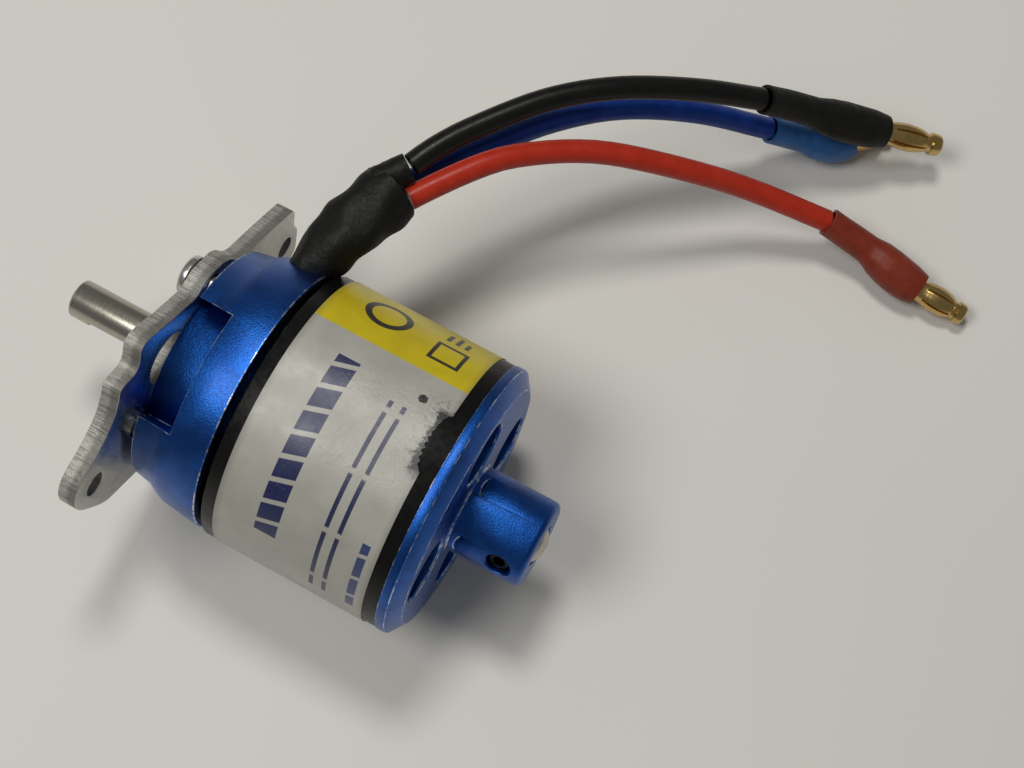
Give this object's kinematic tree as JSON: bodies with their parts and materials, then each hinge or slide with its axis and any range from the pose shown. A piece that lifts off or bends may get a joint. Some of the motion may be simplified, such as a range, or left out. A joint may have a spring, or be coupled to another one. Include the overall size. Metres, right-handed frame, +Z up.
{
  "type": "brushless outrunner motor",
  "caption": "Small brushless outrunner motor: ribless metal can turning round a fixed stator, stub shaft, cross-shaped front mounting plate and three plug-ended leads.",
  "frame": {"origin": "centre of the motor's box at its base, on the surface it lies on, leads left out", "axes": "+X along the motor's axis from the drive shaft towards the rear hub, +Z up, the leads leave towards +Y"},
  "size_m": [0.0992, 0.1011, 0.0372],
  "materials": {
    "bare_aluminium": "stamped, bare, nicked edges",
    "zinc_steel": "zinc plated",
    "blue_anodised": "satin blue anodised",
    "laminated_steel": "stacked laminations",
    "copper_enamel": "enamelled copper wire",
    "bearing_steel": "ground",
    "ground_steel": "ground",
    "black_steel": "black oxide",
    "magnet_nickel": "nickel plated",
    "label_paper": "printed, semi-gloss",
    "brass": "turned",
    "gold_plate": "gold plated",
    "black_silicone": "soft silicone",
    "blue_silicone": "soft silicone",
    "red_silicone": "soft silicone",
    "black_heat_shrink": "shrunk tube",
    "blue_heat_shrink": "shrunk tube, translucent",
    "red_heat_shrink": "shrunk tube"
  },
  "bodies": {
    "stator": {"mounting_plate": "bare_aluminium", "mount_screw_1": "zinc_steel", "mount_screw_2": "zinc_steel", "mount_screw_3": "zinc_steel", "mount_screw_4": "zinc_steel", "stator_base": "blue_anodised", "stator_core": "laminated_steel", "coil_01": "copper_enamel", "coil_02": "copper_enamel", "coil_03": "copper_enamel", "coil_04": "copper_enamel", "coil_05": "copper_enamel", "coil_06": "copper_enamel", "coil_07": "copper_enamel", "coil_08": "copper_enamel", "coil_09": "copper_enamel", "coil_10": "copper_enamel", "coil_11": "copper_enamel", "coil_12": "copper_enamel", "front_bearing_outer_race": "bearing_steel", "rear_bearing_outer_race": "bearing_steel", "lead_sleeve": "black_heat_shrink", "black_lead_inner_sleeve": "black_heat_shrink", "lead_black": "black_silicone", "lead_blue": "blue_silicone", "lead_red": "red_silicone", "plug_sleeve_black": "black_heat_shrink", "plug_sleeve_blue": "blue_heat_shrink", "plug_sleeve_red": "red_heat_shrink", "bullet_black": "gold_plate", "bullet_blue": "gold_plate", "bullet_red": "gold_plate"},
    "rotor": {"shaft": "ground_steel", "bell_cap": "blue_anodised", "grub_screw": "black_steel", "flux_ring": "black_steel", "magnet_01": "magnet_nickel", "magnet_02": "magnet_nickel", "magnet_03": "magnet_nickel", "magnet_04": "magnet_nickel", "magnet_05": "magnet_nickel", "magnet_06": "magnet_nickel", "magnet_07": "magnet_nickel", "magnet_08": "magnet_nickel", "magnet_09": "magnet_nickel", "magnet_10": "magnet_nickel", "magnet_11": "magnet_nickel", "magnet_12": "magnet_nickel", "magnet_13": "magnet_nickel", "magnet_14": "magnet_nickel", "rotor_label": "label_paper", "retaining_clip": "black_steel", "spacer_washer": "brass", "front_bearing_inner_race": "bearing_steel", "rear_bearing_inner_race": "bearing_steel"},
    "front_balls": {"front_bearing_balls": "bearing_steel"},
    "rear_balls": {"rear_bearing_balls": "bearing_steel"}
  },
  "joints": [
    {"name": "rotor_spin", "type": "hinge", "parent": "stator", "child": "rotor", "pos_m": [0, 0, 0.01793], "axis": [1, 0, 0], "continuous": true},
    {"name": "front_balls_spin", "type": "hinge", "parent": "stator", "child": "front_balls", "pos_m": [-0.0128, 0, 0.01793], "axis": [1, 0, 0], "continuous": true},
    {"name": "rear_balls_spin", "type": "hinge", "parent": "stator", "child": "rear_balls", "pos_m": [0.015, 0, 0.01793], "axis": [1, 0, 0], "continuous": true}
  ],
  "couplings": [
    {"joint": "front_balls_spin", "follows": "rotor_spin", "ratio": 0.4225},
    {"joint": "rear_balls_spin", "follows": "rotor_spin", "ratio": 0.4225}
  ]
}
